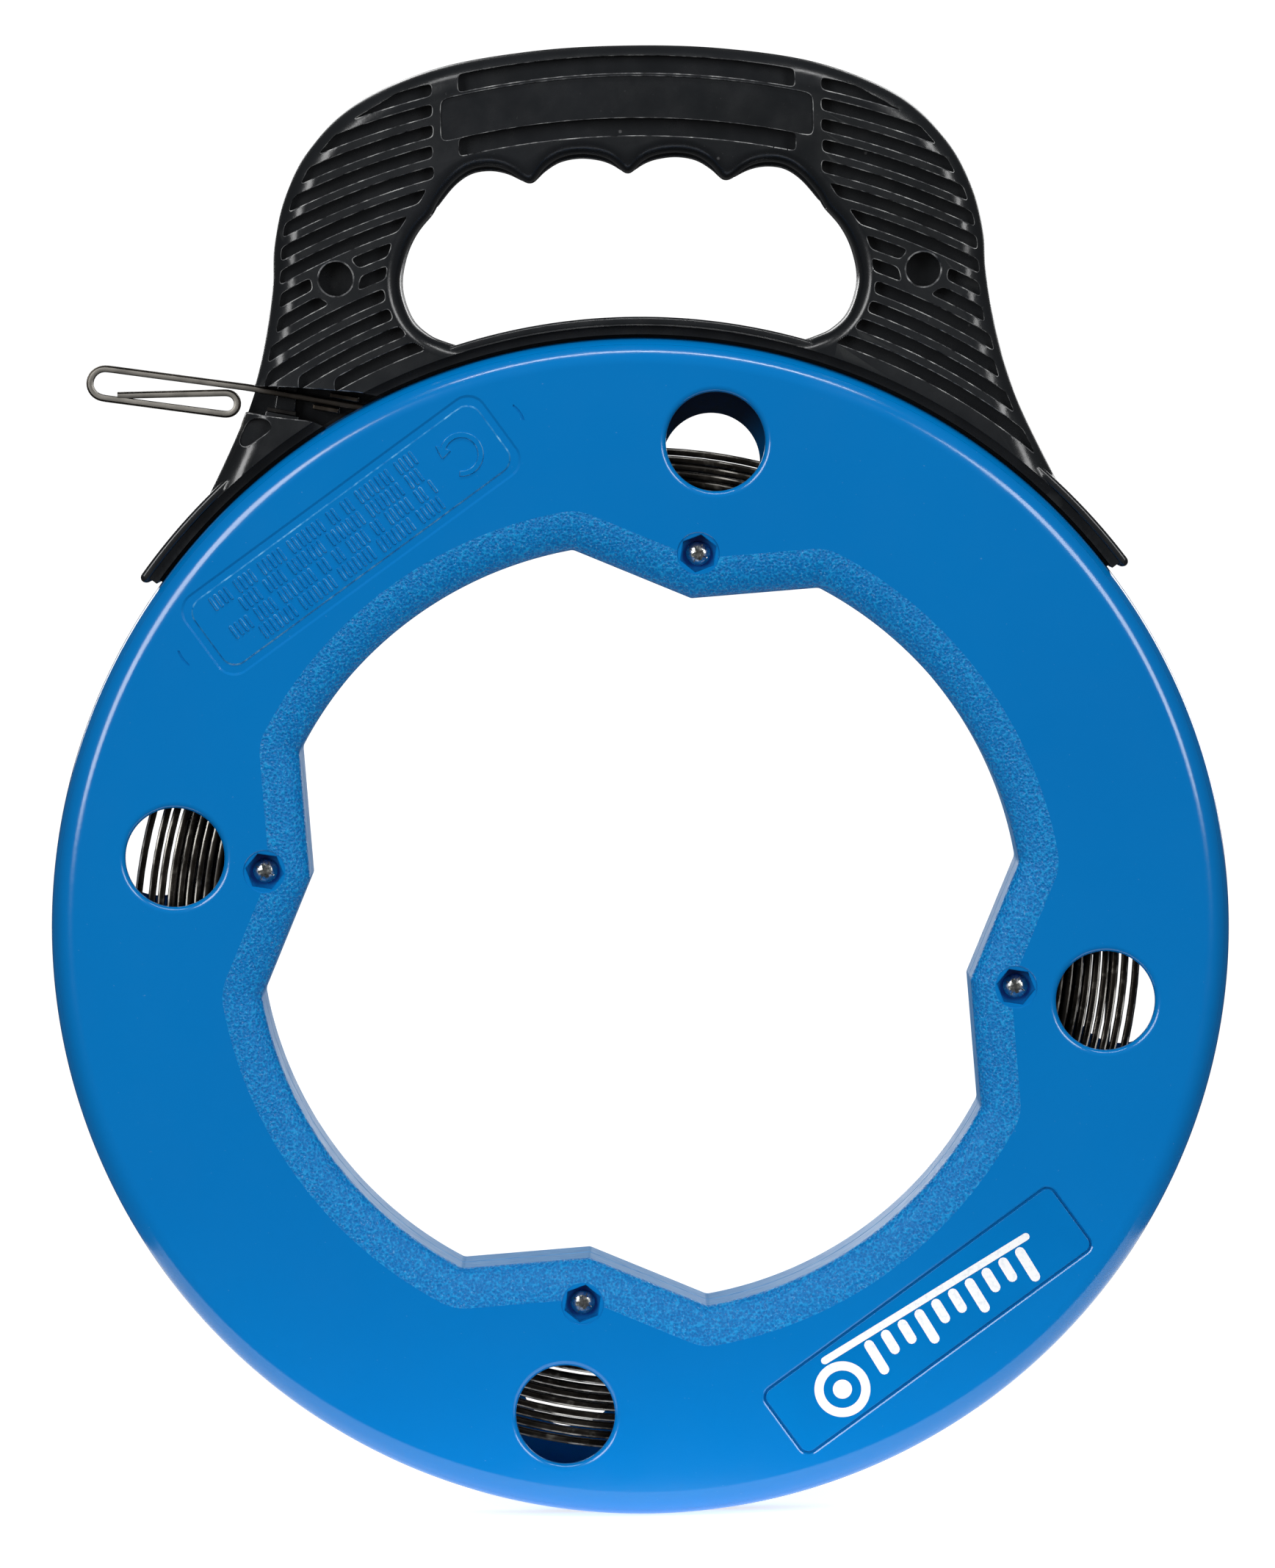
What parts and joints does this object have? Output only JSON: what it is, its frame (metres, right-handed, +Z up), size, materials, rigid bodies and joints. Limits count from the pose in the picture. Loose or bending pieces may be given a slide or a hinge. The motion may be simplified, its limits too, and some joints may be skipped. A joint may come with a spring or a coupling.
{
  "type": "fish tape reel",
  "caption": "Flat steel fish tape wound in a round two-part case that turns inside a ribbed hand grip with a squeeze trigger.",
  "frame": {"origin": "on the ground under the middle of the case: centre of the bounding box's bottom face", "axes": "+Z up through the grip, the reel turns about the Y axis, and the front face with the screw heads looks along -Y"},
  "size_m": [0.27, 0.036, 0.3364],
  "materials": {
    "case_plastic": "smooth glossy moulded plastic, with a leather-grain band around the central opening",
    "label": "smooth blank film label",
    "grip_plastic": "glossy black moulded plastic with a fine spark texture",
    "zinc_steel": "bright zinc plate",
    "guide_steel": "plain pressed steel",
    "spring_steel": "drawn spring wire",
    "tape_steel": "dark rolled spring steel strip with bright edges"
  },
  "bodies": {
    "grip": {"handle_front_half": "grip_plastic", "handle_rear_half": "grip_plastic", "handle_screw_left": "zinc_steel", "handle_screw_right": "zinc_steel", "upper_guide_plate": "guide_steel", "lower_guide_plate": "guide_steel", "return_spring_left": "spring_steel", "return_spring_right": "spring_steel"},
    "case": {"front_case_half": "case_plastic", "rear_case_half": "case_plastic", "blank_label": "label", "case_screw_1": "zinc_steel", "case_screw_2": "zinc_steel", "case_screw_3": "zinc_steel", "case_screw_4": "zinc_steel", "case_nut_1": "zinc_steel", "case_nut_2": "zinc_steel", "case_nut_3": "zinc_steel", "case_nut_4": "zinc_steel", "tape_coil": "tape_steel", "tape_anchor_post": "zinc_steel"},
    "trigger": {"squeeze_trigger": "grip_plastic", "brake_arm": "grip_plastic", "brake_pad": "guide_steel"},
    "tape": {"tape_leader": "tape_steel"}
  },
  "joints": [
    {"name": "case_spin", "type": "hinge", "parent": "grip", "child": "case", "pos_m": [0, 0, 0.135], "axis": [0, 1, 0], "continuous": true},
    {"name": "trigger_squeeze", "type": "slide", "parent": "grip", "child": "trigger", "axis": [0, 0, 1], "range_m": [0, 0.0025], "stiffness_N_per_m": 900, "springref_m": -0.002, "deforming": ["return_spring_left", "return_spring_right"]},
    {"name": "tape_payout", "type": "slide", "parent": "grip", "child": "tape", "axis": [-0.9816, 0, 0.1908], "range_m": [0, 0.045]}
  ]
}
